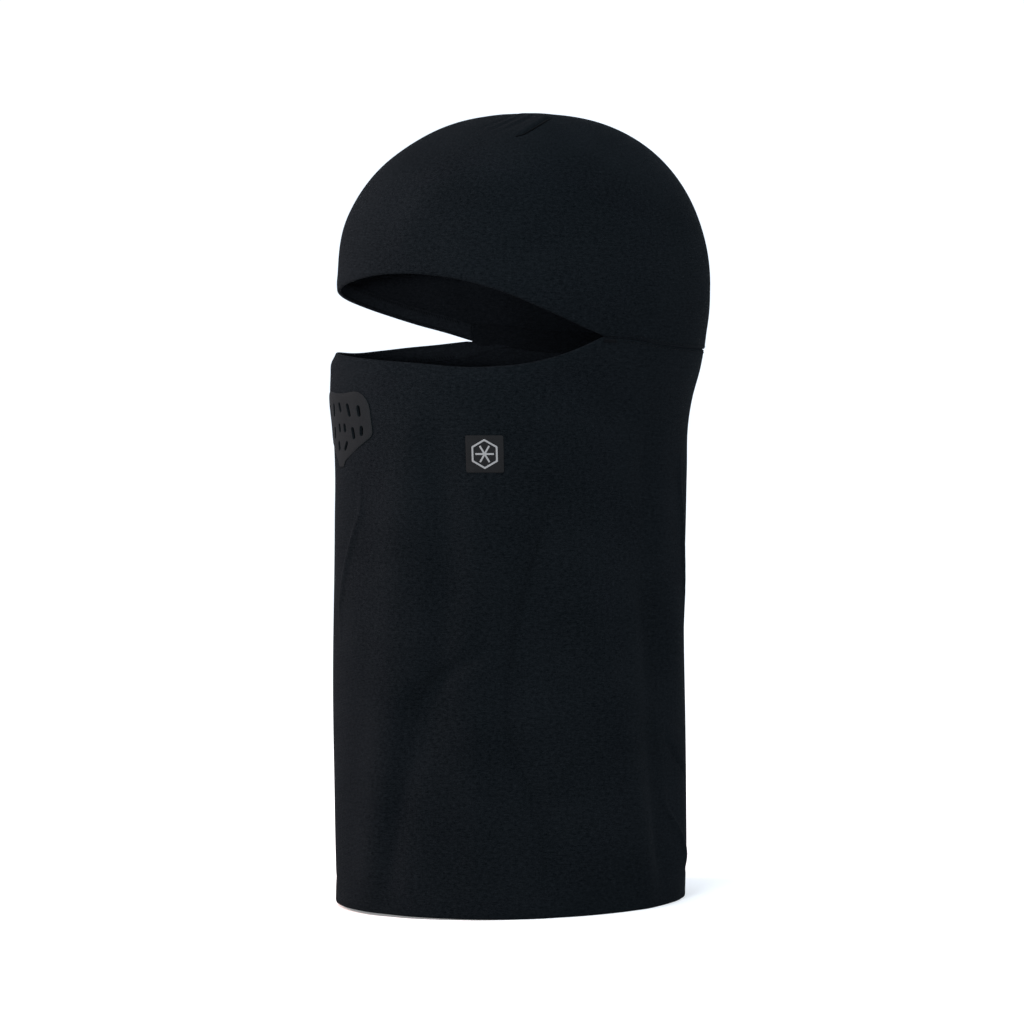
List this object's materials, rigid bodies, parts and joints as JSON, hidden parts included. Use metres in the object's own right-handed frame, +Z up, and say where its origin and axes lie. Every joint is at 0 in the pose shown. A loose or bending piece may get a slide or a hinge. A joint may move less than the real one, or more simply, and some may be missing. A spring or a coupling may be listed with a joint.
{
  "type": "hinged balaclava",
  "caption": "Knit balaclava: a domed crown sewn round the back to a long neck tube, with an open face wedge, a slotted mouth patch and a cheek label.",
  "frame": {"origin": "on the surface that the bottom hem stands on, under the middle of the object", "axes": "+Z up through the crown; the face looks along -Y; +X is the wearer's left"},
  "size_m": [0.158, 0.2109, 0.416],
  "materials": {
    "knit": "matte fine knit",
    "thread": "matte polyester thread",
    "film": "smooth matte bonded film",
    "label": "satin heat-bonded label",
    "mark": "reflective grey print",
    "tab": "woven satin tape"
  },
  "bodies": {
    "neck": {"neck_tube": "knit", "neck_hem_facing": "knit", "back_seam_lower_stitching": "thread", "corner_bartack_left": "thread", "corner_bartack_right": "thread", "size_tab": "tab", "vent_patch": "film", "label_base": "label", "label_emblem": "mark", "mask_edge_facing": "knit", "mask_edge_stitching": "thread"},
    "crown": {"crown_shell": "knit", "crown_dart_seams": "knit", "brow_edge_facing": "knit", "brow_edge_stitching": "thread", "back_seam_allowance": "knit", "back_seam_upper_stitching": "thread"}
  },
  "joints": [
    {"name": "crown_tip", "type": "hinge", "parent": "neck", "child": "crown", "pos_m": [0, 0.103, 0.292], "axis": [-1, 0, 0], "range_deg": [0, 30]}
  ]
}
